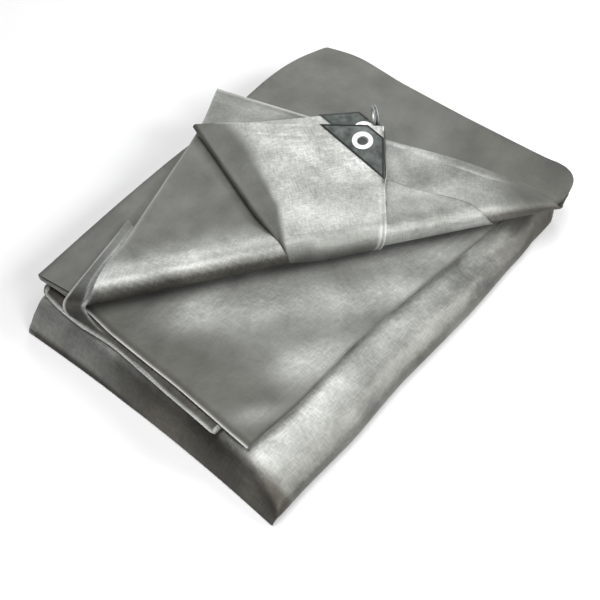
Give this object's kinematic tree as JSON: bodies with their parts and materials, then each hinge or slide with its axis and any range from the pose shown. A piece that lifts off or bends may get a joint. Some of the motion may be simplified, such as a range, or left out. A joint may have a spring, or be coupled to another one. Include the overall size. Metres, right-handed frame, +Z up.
{
  "type": "folded tarp",
  "caption": "Silver sheet tarp folded into a flat bundle, one corner turned back under a doubled flap whose dark corner patches hold metal eyelets.",
  "frame": {"origin": "centre of the bounding box, on the ground under the bundle", "axes": "+X along the long side of the bundle toward its rounded end, +Y along the short side away from the smooth rolled long side, +Z up"},
  "size_m": [0.5329, 0.4276, 0.0935],
  "materials": {
    "tarp_cloth": "silver coated woven sheet, satin",
    "dark_patch": "dark slate, satin",
    "eyelet_metal": "bright, smooth"
  },
  "bodies": {
    "root": {"tarp": "tarp_cloth", "corner_patch_1": "dark_patch", "corner_patch_2": "dark_patch", "corner_patch_3": "dark_patch", "eyelet_1": "eyelet_metal", "eyelet_2": "eyelet_metal", "eyelet_3": "eyelet_metal"}
  },
  "joints": []
}
